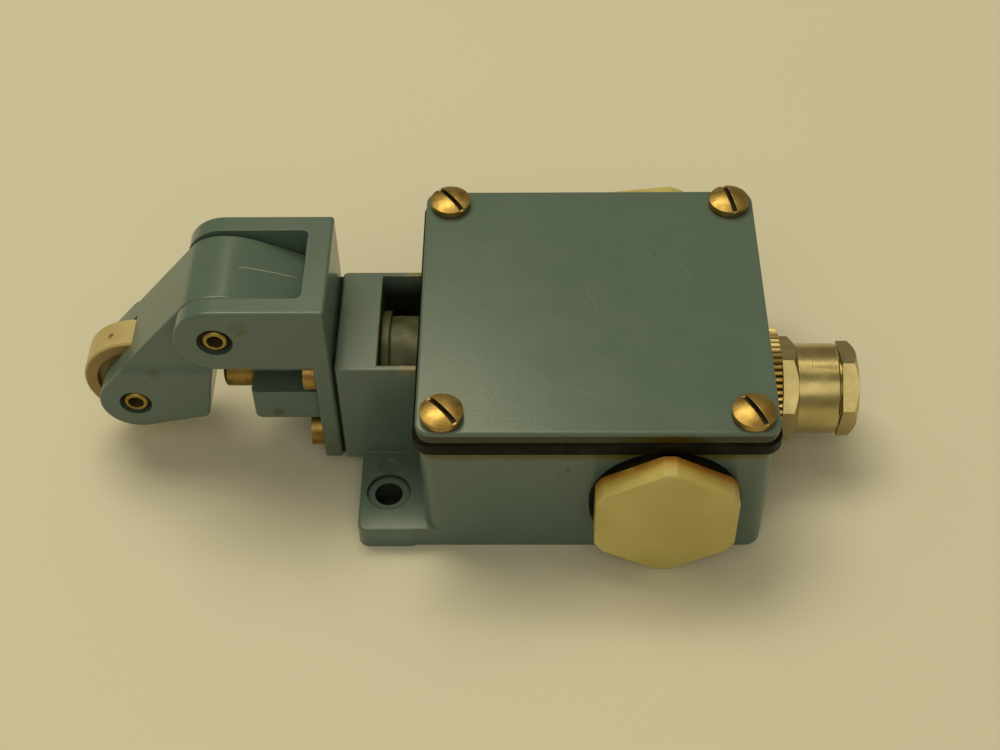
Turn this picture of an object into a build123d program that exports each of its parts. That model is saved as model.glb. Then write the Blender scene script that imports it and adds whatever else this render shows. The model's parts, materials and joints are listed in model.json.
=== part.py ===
from build123d import *

import math
import os

# Limit switch with a roller lever, millimetres.
# Origin: centre of the box on its mounting face. +X to the cable gland, -X to the roller,
# +Z out through the cover, Y across.

# Box casting
BOX_X, BOX_Y, BOX_Z = 80.0, 78.0, 34.9
BOX_CORNER_R, INSIDE_CORNER_R = 4.0, 2.5
WALL = 3.0
HALF_X, HALF_Y = BOX_X / 2, BOX_Y / 2
M3_CORE_R, M4_CORE_R, M5_CORE_R = 1.52, 2.02, 2.52

# Gasket and cover
GASKET_T, GASKET_W = 3.8, 4.1
COVER_T = 3.5
GASKET_TOP = BOX_Z + GASKET_T
COVER_TOP = GASKET_TOP + COVER_T
GASKET_HALF_X, GASKET_HALF_Y = 41.2, 39.5
COVER_HALF_X, COVER_HALF_Y = 40.5, 39.0
COVER_CORNER_R = 3.5
COVER_SCREW_X, COVER_SCREW_Y = 34.5, 34.0
POST_R, POST_HOLE_Z = 4.3, 14.0
COVER_SCREW_HEAD_R, COVER_SCREW_HEAD_H, COVER_SCREW_L = 4.9, 3.0, 24.0
COVER_SLOT_DEG = {(-1, -1): -49, (-1, 1): -52, (1, 1): -76, (1, -1): -61}

# Foot bar under the neck
FOOT_X0, FOOT_Y, FOOT_Z = -55.8, 39.4, 6.5
FOOT_PROUD_X1, FOOT_INNER_X1 = -40.8, -35.0
FOOT_HOLE_X, FOOT_HOLE_Y, FOOT_HOLE_D = -48.9, 28.1, 6.6
SPOT_D, SPOT_DEPTH = 10.4, 0.9
EJECTOR_R, EJECTOR_DEPTH, EJECTOR_X, EJECTOR_Y = 2.3, 0.5, -49.2, 20.5

# Neck between the box and the head
NECK_X0, NECK_Y, NECK_Z0, NECK_Z1 = -60.3, 16.0, 4.7, 37.0
WINDOW_X0, WINDOW_Y, WINDOW_Z0 = -50.6, 14.5, 6.8

# Plunger line
PLUNGER_Z = 20.8
PLUNGER_R = 5.0
PLUNGER_TIP_X = -89.4
PLUNGER_END_X = -34.0
RUN, SNUG = 0.05, 0.02
SLEEVE_R, SLEEVE_BORE_R, COLLAR_R = 12.0, 9.6, 13.3
SLEEVE_X0, COLLAR_X1, SLEEVE_X1, SPRING_SEAT_X = -50.5, -48.3, -36.0, -38.0
STOP_RING_R, STOP_GROOVE_R = 9.0, 4.2
SEAL_POCKET_R, SEAL_POCKET_L = 7.0, 2.5
WIPER_POCKET_R, WIPER_POCKET_L = 6.5, 2.2
SPRING_WIRE_R, SPRING_R = 0.6, 7.3
PUSH_ROD_R = 2.5

# Head casting
FLANGE_X0, FLANGE_X1 = -65.2, -60.9
HEAD_Y, HEAD_Z0, HEAD_Z1, HEAD_CORNER_R = 15.9, 5.0, 56.1, 0.8
EAR_Y = 11.0
EAR_R = 9.5
WEB_X0 = -66.5
BOSS_X0, BOSS_Y, BOSS_Z0, BOSS_Z1, BOSS_R = -81.5, 13.0, 16.1, 25.5, 7.5
HEAD_SCREW_Y, HEAD_SCREW_Z = 11.2, 10.4
HEAD_SCREW_HEAD_R, HEAD_SCREW_HEAD_H, HEAD_SCREW_L = 4.25, 3.3, 12.0
HEAD_GASKET_INSET = 0.8

# Lever, about its pivot and its roller axle
PIVOT_X, PIVOT_Z = -86.6, 46.5
ROLLER_X, ROLLER_Z = -110.2, 19.75
HUB_R, LEVER_END_R = 8.3, 8.7
BELLY_SLOPE_DEG = 12.5
HEEL_X, HEEL_R = -92.95, 2.3
CREST_START, CREST_TOP, CREST_END = (-94.6, 51.6), (-87.2, 55.3), (-68.0, 49.0)
CREST_NOSE, CREST_BACK = (-91.6, 54.1), (-77.8, 53.4)
LEVER_Y, CHEEK_Y = 10.3, 11.3
LEDGE_LOW_Z, LEDGE_HIGH_Z = 30.3, 32.8
SLOT_Y, SLOT_R = 4.8, 14.0
PIN_R = 2.9
PIN_BORE_R, PIN_BORE_L = 1.9, 2.5
EAR_SINK_R, CHEEK_SINK_R, SINK_DEPTH = 4.15, 3.9, 1.3
PIN_RECESS = 0.25
ROLLER_R, ROLLER_Y = 13.5, 4.25

# Conduit plugs in the side walls
PLUG_X, PLUG_Z = 16.0, 18.1
PLUG_AF, PLUG_ROUND_R = 32.4, 17.9
PLUG_THREAD_R, PLUG_THREAD_L, PLUG_BORE_R = 14.15, 8.5, 11.95
PLUG_SEAL_R, PLUG_SEAL_T = 17.4, 1.5
FRONT_PLUG_T, FRONT_PLUG_TURN = 5.8, 0.0
REAR_PLUG_T, REAR_PLUG_TURN = 8.2, 23.0

# Cable gland in the end wall
GLAND_Y, GLAND_Z = -4.9, 17.5
RING_R, RING_TEETH, TOOTH_H, RING_X0, RING_X1 = 14.6, 56, 0.85, 41.5, 44.9
REDUCER_R, REDUCER_X0, GLAND_THREAD_R, GLAND_X0 = 11.25, 32.0, 9.3, 34.0
GLAND_HEX_AF, GLAND_HEX_X1, GLAND_HEX_TURN = 22.0, 49.1, 9.0
GLAND_TUBE_R, GLAND_TUBE_X1, GLAND_BORE_R = 10.95, 59.0, 6.0
NUT_AF, NUT_X0, NUT_X1, NUT_THREAD_R, NUT_TURN = 20.0, 59.6, 63.5, 8.6, 10.0
SEAL_X0, WASHER_X0, NUT_THREAD_X0 = 47.2, 53.3, 54.3
CABLE_R = 5.25

# Contact block inside the box
BLOCK_X, BLOCK_Y, BLOCK_Z0, BLOCK_Z1 = 22.0, 17.0, 3.0, 28.0
LID_T, LID_Y, LID_TAB_X, LID_TAB_Y = 1.5, 8.0, 3.0, 13.0
CHANNEL_Y, CHANNEL_Z, CHANNEL_FIT = 5.0, 12.0, 0.07
CARRIER_X0, CARRIER_X1, CARRIER_Z1 = -21.0, 10.0, 25.0
RIB_X0, RIB_X1 = -4.4, 2.1
BRIDGE_T, BRIDGE_Y, BRIDGE_Z0, BRIDGE_Z1 = 0.8, 13.5, 18.3, 23.3
TIP_Y, TIP_R, TIP_T = 11.5, 2.0, 0.75
NC_BRIDGE_X, NO_BRIDGE_X = -9.4, 6.3
NC_FIXED_X, NO_FIXED_X = -11.0, 13.0
STRIP_T, STRIP_Y0, STRIP_Y1, STRIP_Z0, STRIP_END_X = 1.0, 9.0, 14.4, 17.0, 21.0
CONTACT_BAYS = ((-12.0, -3.0), (3.0, 14.0))
BAY_Y, BAY_Z = 14.5, 15.0
TERMINAL_X, TERMINAL_Y, CLAMP_T, CLAMP_HALF = 17.0, 12.5, 0.8, 3.2
BLOCK_SCREW_Y, BLOCK_SCREW_BOSS_R, BLOCK_SCREW_BOSS_Z = 10.0, 4.0, 8.0
EARTH_X, EARTH_Y, EARTH_BOSS_R, EARTH_BOSS_Z, EARTH_CLAMP_T = 30.0, 22.0, 4.5, 10.0, 1.0

ALONG_X = Rot(0, 90, 0)
ALONG_Y = Rot(-90, 0, 0)
AXIS_LINE = Pos(0, 0, PLUNGER_Z)
GLAND_LINE = Pos(0, GLAND_Y, GLAND_Z)


def block(x0, x1, y0, y1, z0, z1):
    """Rectangular block between two opposite corners."""
    middle = Pos((x0 + x1) / 2, (y0 + y1) / 2, (z0 + z1) / 2)
    return middle * Box(x1 - x0, y1 - y0, z1 - z0)


def slab(x0, x1, half_y, z0, z1, radius):
    """Block centred on Y = 0 with rounded upright corners."""
    part = block(x0, x1, -half_y, half_y, z0, z1)
    return fillet(part.edges().filter_by(Axis.Z), radius)


def x_rod(radius, x0, x1, y=0.0, z=0.0):
    return Pos((x0 + x1) / 2, y, z) * ALONG_X * Cylinder(radius, x1 - x0)


def y_rod(radius, y0, y1, x, z):
    return Pos(x, (y0 + y1) / 2, z) * ALONG_Y * Cylinder(radius, y1 - y0)


def z_rod(radius, z0, z1, x, y):
    return Pos(x, y, (z0 + z1) / 2) * Cylinder(radius, z1 - z0)


def turned(profile):
    """Solid of revolution about Z from (radius, height) points."""
    return revolve(Plane.XZ * make_face(Polyline(*profile, close=True)), Axis.Z)


def x_turned(profile):
    """Solid of revolution about X from (radius, x) points."""
    return ALONG_X * turned(profile)


def x_ring(inner, outer, x0, x1):
    return x_rod(outer, x0, x1) - x_rod(inner, x0 - 1, x1 + 1)


def hex_prism(across_flats, height):
    """Upright hexagonal prism standing on Z = 0, with a vertex on +X."""
    return extrude(RegularPolygon(across_flats / 2, 6, major_radius=False), height)


def group(parts):
    """Several separate solids in one node."""
    return Compound([solid for part in parts for solid in part.solids()])


def signs():
    return [(sx, sy) for sx in (-1, 1) for sy in (-1, 1)]


def slotted_screw(head_r, head_h, shank_r, length, slot_w, slot_deg, dome=0.35):
    """Slotted screw along Z, its domed head standing on Z = 0 and its shank below."""
    sag = head_h * dome
    crown_r = (head_r**2 + sag**2) / (2 * sag)
    half_way = (head_r / 2, head_h - crown_r + math.sqrt(crown_r**2 - (head_r / 2) ** 2))
    side = Polyline((0, head_h), (0, 0), (head_r, 0), (head_r, head_h - sag))
    top = ThreePointArc((head_r, head_h - sag), half_way, (0, head_h))
    head = revolve(Plane.XZ * make_face([side, top]), Axis.Z)
    head -= Rot(0, 0, slot_deg) * block(-9, 9, -slot_w / 2, slot_w / 2, head_h * 0.55, head_h * 2)
    tip = shank_r * 0.8
    shank = turned([(0, 0), (shank_r, 0), (shank_r, tip - length), (tip, -length), (0, -length)])
    return head + shank


def coil(wire_r, mean_r, x0, x1, turns):
    """Compression spring along X with the given number of turns."""
    span = x1 - x0 - 2 * wire_r
    path = Helix(span / turns, span, mean_r)
    wire = sweep(Plane(origin=path @ 0, z_dir=path % 0) * Circle(wire_r), path)
    return Pos(x0 + wire_r, 0, PLUNGER_Z) * ALONG_X * wire


# Box casting ---------------------------------------------------------------

def box_shell():
    """Open-topped box with corner posts for the cover screws and floor bosses."""
    shell = slab(-HALF_X, HALF_X, HALF_Y, 0, BOX_Z, BOX_CORNER_R)
    shell -= slab(WALL - HALF_X, HALF_X - WALL, HALF_Y - WALL, WALL, BOX_Z + 1, INSIDE_CORNER_R)
    for sx, sy in signs():
        shell += z_rod(POST_R, WALL, BOX_Z, sx * COVER_SCREW_X, sy * COVER_SCREW_Y)
        shell -= z_rod(M5_CORE_R, POST_HOLE_Z, BOX_Z + 1, sx * COVER_SCREW_X, sy * COVER_SCREW_Y)
    for sy in (-1, 1):
        shell += z_rod(BLOCK_SCREW_BOSS_R, WALL, BLOCK_SCREW_BOSS_Z, 0, sy * BLOCK_SCREW_Y)
        shell -= z_rod(M3_CORE_R, WALL / 2, BLOCK_SCREW_BOSS_Z + 1, 0, sy * BLOCK_SCREW_Y)
    shell += z_rod(EARTH_BOSS_R, WALL, EARTH_BOSS_Z, EARTH_X, EARTH_Y)
    return shell - z_rod(M4_CORE_R, WALL + 1, EARTH_BOSS_Z + 1, EARTH_X, EARTH_Y)


def foot_bar():
    """Mounting foot across the head end, with two spot-faced screw holes."""
    foot = slab(FOOT_X0, FOOT_PROUD_X1, FOOT_Y, 0, FOOT_Z, 2.5)
    foot = fillet(foot.faces().sort_by(Axis.Z)[-1].edges(), 0.6)
    foot += block(-HALF_X - 8, FOOT_INNER_X1, -HALF_Y, HALF_Y, 0, FOOT_Z)
    for sy in (-1, 1):
        foot -= z_rod(FOOT_HOLE_D / 2, -1, FOOT_Z + 1, FOOT_HOLE_X, sy * FOOT_HOLE_Y)
        foot -= z_rod(SPOT_D / 2, FOOT_Z - SPOT_DEPTH, FOOT_Z + 1, FOOT_HOLE_X, sy * FOOT_HOLE_Y)
        foot -= z_rod(EJECTOR_R, FOOT_Z - EJECTOR_DEPTH, FOOT_Z + 1, EJECTOR_X, sy * EJECTOR_Y)
    return foot


def neck():
    """Solid front block and two thin side walls around an open window."""
    outer = slab(NECK_X0, -HALF_X + 1, NECK_Y, NECK_Z0, NECK_Z1, 1.2)
    outer = fillet(outer.faces().sort_by(Axis.Z)[-1].edges(), 0.5)
    outer -= block(WINDOW_X0, 0, -WINDOW_Y, WINDOW_Y, WINDOW_Z0, NECK_Z1 + 1)
    return outer - block(-GASKET_HALF_X - 0.1, 0, -HALF_Y, HALF_Y, BOX_Z, NECK_Z1 + 1)


def head_screw_places():
    """Y and Z of the four screws that hold the head to the neck."""
    return [(sy * HEAD_SCREW_Y, PLUNGER_Z + sz * HEAD_SCREW_Z) for sy, sz in signs()]


def body_casting():
    body = box_shell() + foot_bar() + neck()
    body -= AXIS_LINE * x_rod(SLEEVE_R + RUN, -HALF_X - 1, WALL - HALF_X + 0.5)
    body -= AXIS_LINE * x_rod(PLUNGER_R + RUN, NECK_X0 - 1, WINDOW_X0 + 1)
    body -= AXIS_LINE * x_rod(SEAL_POCKET_R, NECK_X0 - 1, NECK_X0 + SEAL_POCKET_L)
    for y, z in head_screw_places():
        body -= x_rod(M5_CORE_R, NECK_X0 - 1, FLANGE_X0 + HEAD_SCREW_L + 1, y, z)
    for sy in (-1, 1):
        ends = sorted((sy * (HALF_Y - PLUG_THREAD_L), sy * (HALF_Y + 1)))
        body -= y_rod(PLUG_THREAD_R + RUN, *ends, PLUG_X, PLUG_Z)
    return body - GLAND_LINE * x_rod(REDUCER_R + RUN, HALF_X - WALL - 1, HALF_X + 1)


def cover_gasket():
    """Rubber frame with a pad round each cover screw."""
    gasket = slab(-GASKET_HALF_X, GASKET_HALF_X, GASKET_HALF_Y, BOX_Z, GASKET_TOP, 4.0)
    faces = gasket.faces().sort_by(Axis.Z)
    gasket = fillet(faces[0].edges() + faces[-1].edges(), 0.6)
    inner_x, inner_y = GASKET_HALF_X - GASKET_W, GASKET_HALF_Y - GASKET_W
    opening = slab(-inner_x, inner_x, inner_y, BOX_Z - 1, GASKET_TOP + 1, 2.0)
    for sx, sy in signs():
        opening -= z_rod(5.4, 0, 60, sx * COVER_SCREW_X, sy * COVER_SCREW_Y)
    gasket -= opening
    for sx, sy in signs():
        gasket -= z_rod(2.6, 0, 60, sx * COVER_SCREW_X, sy * COVER_SCREW_Y)
    return gasket


def cover_plate():
    cover = slab(-COVER_HALF_X, COVER_HALF_X, COVER_HALF_Y, GASKET_TOP, COVER_TOP, COVER_CORNER_R)
    cover = fillet(cover.faces().sort_by(Axis.Z)[-1].edges(), 0.55)
    for sx, sy in signs():
        cover -= z_rod(2.7, 0, 60, sx * COVER_SCREW_X, sy * COVER_SCREW_Y)
    return cover


def cover_screws():
    screws = []
    for (sx, sy), angle in COVER_SLOT_DEG.items():
        place = Pos(sx * COVER_SCREW_X, sy * COVER_SCREW_Y, COVER_TOP)
        screws.append(place * slotted_screw(COVER_SCREW_HEAD_R, COVER_SCREW_HEAD_H, 2.5, COVER_SCREW_L,
                                             1.2, angle))
    return group(screws)


# Head, lever and roller ------------------------------------------------------

def ear_outline():
    ear = Pos(PIVOT_X, PIVOT_Z) * Circle(EAR_R)
    width = FLANGE_X1 - PIVOT_X
    return ear + Pos(PIVOT_X + width / 2, PIVOT_Z + 0.05) * Rectangle(width, 2 * EAR_R - 0.1)


def side_plate(outline, y0, y1):
    """Extrusion along Y of an outline drawn with X across and Z up."""
    plane = Plane(origin=(0, y1, 0), x_dir=(1, 0, 0), z_dir=(0, -1, 0))
    return extrude(plane * outline, y1 - y0)


def round_rims(solid, half_y, limit_x, radius):
    """Rounds the edges that lie flat in the two planes Y = +-half_y, left of limit_x."""
    def on_rim(edge):
        box = edge.bounding_box()
        flat = box.max.Y - box.min.Y < 0.01
        return flat and abs(abs(edge.center().Y) - half_y) < 0.01 and edge.center().X < limit_x
    return fillet(solid.edges().filter_by(on_rim), radius)


def yoke():
    """Two ears joined by a web, with softened edges."""
    plate = side_plate(ear_outline(), -HEAD_Y, HEAD_Y)
    plate = fillet(plate.edges().filter_by(Axis.Z), HEAD_CORNER_R)
    solid = round_rims(plate, HEAD_Y, FLANGE_X1 - HEAD_CORNER_R - 0.1, 0.7)
    pocket = block(PIVOT_X - 20, WEB_X0, -EAR_Y, EAR_Y, 0, 80)
    pocket = fillet(pocket.edges().filter_by(Axis.Z).group_by(Axis.X)[-1], 1.5)
    return solid - pocket


def plunger_boss():
    wings = slab(BOSS_X0, FLANGE_X0 + 1, BOSS_Y, BOSS_Z0, BOSS_Z1, 2.0)
    faces = wings.faces().sort_by(Axis.Z)
    wings = fillet(faces[0].edges() + faces[-1].edges(), 0.6)
    return wings + AXIS_LINE * x_rod(BOSS_R, BOSS_X0, FLANGE_X0 + 1)


def head_casting():
    flange = slab(FLANGE_X0, FLANGE_X1, HEAD_Y, HEAD_Z0, HEAD_Z1 - 2, HEAD_CORNER_R)
    head = flange + yoke() + plunger_boss()
    head -= AXIS_LINE * x_rod(PLUNGER_R + RUN, BOSS_X0 - 1, FLANGE_X1 + 1)
    head -= AXIS_LINE * x_rod(WIPER_POCKET_R, BOSS_X0 - 1, BOSS_X0 + WIPER_POCKET_L)
    for y, z in head_screw_places():
        head -= x_rod(2.65, FLANGE_X0 - 1, FLANGE_X1 + 1, y, z)
    for sy in (-1, 1):
        ends = sorted((sy * (HEAD_Y - SINK_DEPTH), sy * (HEAD_Y + 1)))
        head -= y_rod(EAR_SINK_R, *ends, PIVOT_X, PIVOT_Z)
    return head - y_rod(PIN_R + SNUG, -HEAD_Y - 1, HEAD_Y + 1, PIVOT_X, PIVOT_Z)


def head_gasket():
    half_y = NECK_Y - HEAD_GASKET_INSET
    ends = (HEAD_Z0 + HEAD_GASKET_INSET, NECK_Z1 - HEAD_GASKET_INSET)
    gasket = block(FLANGE_X1, NECK_X0, -half_y, half_y, *ends)
    gasket -= AXIS_LINE * x_rod(PLUNGER_R + 0.3, FLANGE_X1 - 1, NECK_X0 + 1)
    for y, z in head_screw_places():
        gasket -= x_rod(2.7, FLANGE_X1 - 1, NECK_X0 + 1, y, z)
    return gasket


def head_screws():
    screws = []
    for index, (y, z) in enumerate(head_screw_places()):
        screw = slotted_screw(HEAD_SCREW_HEAD_R, HEAD_SCREW_HEAD_H, 2.5, HEAD_SCREW_L, 1.2,
                              20 + 40 * index, dome=0.12)
        screws.append(Pos(FLANGE_X0, y, z) * Rot(0, -90, 0) * screw)
    return group(screws)


def tangent_point(centre, radius, outside):
    """Where the line from an outside point touches a circle, on the circle's upper left."""
    dx, dz = outside[0] - centre[0], outside[1] - centre[1]
    angle = math.atan2(dz, dx) + math.acos(radius / math.hypot(dx, dz))
    return centre[0] + radius * math.cos(angle), centre[1] + radius * math.sin(angle)


def lever_outline():
    """Crested hub, arm with a square heel, rounded roller end and sloping tail."""
    roller_end, pivot = (ROLLER_X, ROLLER_Z), (PIVOT_X, PIVOT_Z)
    shoulder = tangent_point(roller_end, LEVER_END_R, CREST_START)
    slope = math.radians(BELLY_SLOPE_DEG)
    belly = (ROLLER_X + LEVER_END_R * math.sin(slope), ROLLER_Z - LEVER_END_R * math.cos(slope))
    heel = (HEEL_X, belly[1] + (HEEL_X - belly[0]) * math.tan(slope))
    crest = Spline(CREST_START, CREST_NOSE, CREST_TOP, CREST_BACK, CREST_END)
    under = Polyline(CREST_END, (-67.5, 48.2), (-67.5, 43.5), (-80.0, 42.0), (-88.2, 38.5), (-90.5, 28.9),
                     heel, belly, roller_end, shoulder, CREST_START)
    arm = make_face([crest, under])
    arm = fillet(arm.vertices().sort_by_distance((*heel, 0))[0], HEEL_R)
    arm = fillet(arm.vertices().sort_by_distance((*CREST_START, 0))[0], 2.0)
    return arm + Pos(*pivot) * Circle(HUB_R) + Pos(*roller_end) * Circle(LEVER_END_R)


def lever_section():
    """The lever's width from end to end: narrow between the ears, wider at the roller."""
    half = [(CHEEK_Y, 0), (CHEEK_Y, LEDGE_LOW_Z), (LEVER_Y, LEDGE_HIGH_Z), (LEVER_Y, 80)]
    corners = half + [(-y, z) for y, z in reversed(half)]
    plane = Plane(origin=(-130, 0, 0), x_dir=(0, 1, 0), z_dir=(1, 0, 0))
    return extrude(plane * make_face(Polyline(*corners, close=True)), 80)


def lever_casting():
    lever = side_plate(lever_outline(), -CHEEK_Y, CHEEK_Y) & lever_section()
    lever = round_rims(lever, CHEEK_Y, 0, 0.6)
    lever = round_rims(lever, LEVER_Y, 0, 0.6)
    lever -= y_rod(SLOT_R, -SLOT_Y, SLOT_Y, ROLLER_X, ROLLER_Z)
    lever -= y_rod(PIN_R + RUN, -20, 20, PIVOT_X, PIVOT_Z)
    lever -= y_rod(PIN_R + SNUG, -20, 20, ROLLER_X, ROLLER_Z)
    for sy in (-1, 1):
        ends = sorted((sy * (CHEEK_Y - SINK_DEPTH), sy * (CHEEK_Y + 1)))
        lever -= y_rod(CHEEK_SINK_R, *ends, ROLLER_X, ROLLER_Z)
    return lever


def hollow_pin(half_length, x, z):
    """Rivet-style pin with hollow, flared-edge ends."""
    pin = y_rod(PIN_R, -half_length, half_length, x, z)
    rim = pin.edges().filter_by(GeomType.CIRCLE)
    pin = chamfer(rim, 0.35)
    for sy in (-1, 1):
        ends = sorted((sy * (half_length - PIN_BORE_L), sy * (half_length + 1)))
        pin -= y_rod(PIN_BORE_R, *ends, x, z)
    return pin


def roller():
    """Plastic roller with a rim, a recessed web and a hub on each side."""
    hub_r, web_y, rim_in = 4.6, 2.2, 10.4
    profile = [(PIN_R + RUN, -ROLLER_Y), (hub_r, -ROLLER_Y), (hub_r, -web_y), (rim_in, -web_y),
               (rim_in, -ROLLER_Y), (ROLLER_R - 0.5, -ROLLER_Y), (ROLLER_R, 0.5 - ROLLER_Y),
               (ROLLER_R, ROLLER_Y - 0.5), (ROLLER_R - 0.5, ROLLER_Y), (rim_in, ROLLER_Y),
               (rim_in, web_y), (hub_r, web_y), (hub_r, ROLLER_Y), (PIN_R + RUN, ROLLER_Y)]
    return Pos(ROLLER_X, 0, ROLLER_Z) * ALONG_Y * turned(profile)


# Plunger line ------------------------------------------------------------------

def plunger():
    rod = AXIS_LINE * x_rod(PLUNGER_R, PLUNGER_TIP_X, PLUNGER_END_X)
    tip = rod.edges().filter_by(GeomType.CIRCLE).sort_by(Axis.X)
    rod = fillet(tip[0], 1.0)
    return rod - AXIS_LINE * x_ring(STOP_GROOVE_R, PLUNGER_R + 1, WINDOW_X0 + 0.05, WINDOW_X0 + 1.55)


def plunger_stop_ring():
    return AXIS_LINE * x_ring(STOP_GROOVE_R + RUN, STOP_RING_R, WINDOW_X0 + 0.1, WINDOW_X0 + 1.5)


def plunger_wiper():
    return AXIS_LINE * x_ring(PLUNGER_R + RUN, WIPER_POCKET_R - RUN, BOSS_X0 + 0.3, BOSS_X0 + WIPER_POCKET_L)


def plunger_seal():
    return AXIS_LINE * x_ring(PLUNGER_R + RUN, SEAL_POCKET_R - RUN, NECK_X0, NECK_X0 + SEAL_POCKET_L - 0.1)


def return_spring():
    return coil(SPRING_WIRE_R, SPRING_R, WINDOW_X0 + 1.55, SPRING_SEAT_X - 0.05, 4)


def guide_sleeve():
    """Flanged tube pressed into the end wall, holding the return spring."""
    sleeve = x_rod(COLLAR_R, SLEEVE_X0, COLLAR_X1) + x_rod(SLEEVE_R, COLLAR_X1, SLEEVE_X1)
    rims = sleeve.edges().filter_by(GeomType.CIRCLE).sort_by(Axis.X)
    sleeve = fillet([rim for rim in rims if abs(rim.radius - COLLAR_R) < 0.1], 0.4)
    sleeve -= x_rod(SLEEVE_BORE_R, SLEEVE_X0 - 1, SPRING_SEAT_X)
    return AXIS_LINE * (sleeve - x_rod(PLUNGER_R + RUN, SPRING_SEAT_X - 1, SLEEVE_X1 + 1))


def push_rod():
    return AXIS_LINE * x_rod(PUSH_ROD_R, PLUNGER_END_X, CARRIER_X0)


# Plugs ---------------------------------------------------------------------------

def blanking_plug(side, head_t, turn):
    """Hexagon-headed hollow plug screwed in from the given side (-1 near, +1 far)."""
    head = Rot(0, 0, 30) * hex_prism(PLUG_AF, head_t)
    head &= turned([(0, 0), (PLUG_ROUND_R, 0), (PLUG_ROUND_R, head_t - 0.5),
                    (PLUG_ROUND_R - 0.5, head_t), (0, head_t)])
    head = fillet(head.faces().sort_by(Axis.Z)[-1].edges(), 0.35)
    plug = head + z_rod(PLUG_THREAD_R, -PLUG_THREAD_L, 0, 0, 0)
    plug -= z_rod(PLUG_BORE_R, -PLUG_THREAD_L - 1, 1.5, 0, 0)
    outward = ALONG_Y if side > 0 else Rot(90, 0, 0)
    return Pos(PLUG_X, side * (HALF_Y + PLUG_SEAL_T), PLUG_Z) * outward * Rot(0, 0, turn) * plug


def plug_seal(side):
    """Flat ring whose top edge is trimmed to clear the cover gasket."""
    ends = sorted((side * HALF_Y, side * (HALF_Y + PLUG_SEAL_T)))
    seal = y_rod(PLUG_SEAL_R, *ends, PLUG_X, PLUG_Z)
    seal -= block(-5, 40, -50, 50, BOX_Z - 0.03, 60)
    return seal - y_rod(PLUG_THREAD_R + RUN, ends[0] - 1, ends[1] + 1, PLUG_X, PLUG_Z)


# Cable gland -----------------------------------------------------------------------

def reducer_seal():
    return GLAND_LINE * x_ring(REDUCER_R + RUN, RING_R - 1.0, HALF_X, RING_X0)


def knurled_reducer():
    """Threaded reducer with a straight-knurled rim."""
    corners = []
    for step in range(2 * RING_TEETH):
        radius = RING_R - TOOTH_H * (step % 2)
        angle = math.pi * step / RING_TEETH
        corners.append((radius * math.cos(angle), radius * math.sin(angle)))
    rim = extrude(make_face(Polyline(*corners, close=True)), RING_X1 - RING_X0)
    reducer = Pos(RING_X0, 0, 0) * ALONG_X * rim
    reducer &= x_turned([(0, RING_X0), (RING_R - 0.4, RING_X0), (RING_R, RING_X0 + 0.5),
                         (RING_R, RING_X1 - 0.6), (RING_R - 0.7, RING_X1), (0, RING_X1)])
    reducer += x_rod(REDUCER_R, REDUCER_X0, RING_X0)
    return GLAND_LINE * (reducer - x_rod(GLAND_THREAD_R + RUN, REDUCER_X0 - 1, RING_X1 + 1))


def chamfered_hex(across_flats, x0, x1, turn, bevel):
    """Hexagon along X whose corners are turned down on the +X side."""
    corner_r = across_flats / math.sqrt(3)
    prism = Pos(x0, 0, 0) * ALONG_X * Rot(0, 0, turn) * hex_prism(across_flats, x1 - x0)
    return prism & x_turned([(0, x0), (corner_r, x0), (corner_r, x1 - bevel * 0.75),
                             (corner_r - bevel, x1), (0, x1)])


def gland_body():
    body = chamfered_hex(GLAND_HEX_AF, RING_X1, GLAND_HEX_X1, GLAND_HEX_TURN, 1.8)
    body += x_rod(GLAND_THREAD_R, GLAND_X0, RING_X1)
    tube = x_rod(GLAND_TUBE_R, GLAND_HEX_X1, GLAND_TUBE_X1)
    body += chamfer(tube.edges().filter_by(GeomType.CIRCLE).sort_by(Axis.X)[-1], 0.4)
    body -= x_rod(GLAND_BORE_R, GLAND_X0 - 1, GLAND_TUBE_X1 + 1)
    return GLAND_LINE * (body - x_rod(NUT_THREAD_R + RUN, SEAL_X0, GLAND_TUBE_X1 + 1))


def gland_seal():
    return GLAND_LINE * x_ring(CABLE_R, NUT_THREAD_R, SEAL_X0, WASHER_X0)


def gland_washer():
    return GLAND_LINE * x_ring(CABLE_R + 0.3, NUT_THREAD_R, WASHER_X0, NUT_THREAD_X0)


def gland_nut():
    nut = chamfered_hex(NUT_AF, NUT_X0, NUT_X1, NUT_TURN, 1.6)
    nut += x_rod(NUT_THREAD_R, NUT_THREAD_X0, NUT_X0)
    return GLAND_LINE * (nut - x_rod(CABLE_R, NUT_THREAD_X0 - 1, NUT_X1 + 1))


# Contact block -----------------------------------------------------------------------

def contact_block_base():
    base = block(-BLOCK_X, BLOCK_X, -BLOCK_Y, BLOCK_Y, BLOCK_Z0, BLOCK_Z1)
    base -= block(-BLOCK_X - 1, BLOCK_X - 2, -CHANNEL_Y, CHANNEL_Y, CHANNEL_Z, BLOCK_Z1 + 1)
    for x0, x1 in CONTACT_BAYS:
        base -= block(x0, x1, -BAY_Y, BAY_Y, BAY_Z, BLOCK_Z1 + 1)
    for sy in (-1, 1):
        base -= z_rod(BLOCK_SCREW_BOSS_R + 0.1, 0, BLOCK_SCREW_BOSS_Z + 0.1, 0, sy * BLOCK_SCREW_Y)
        base -= z_rod(1.6, 0, BLOCK_Z1 + 1, 0, sy * BLOCK_SCREW_Y)
    for sx, sy in signs():
        base -= z_rod(1.8, BLOCK_Z1 - 9, BLOCK_Z1 + 1, sx * TERMINAL_X, sy * TERMINAL_Y)
    return base


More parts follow.
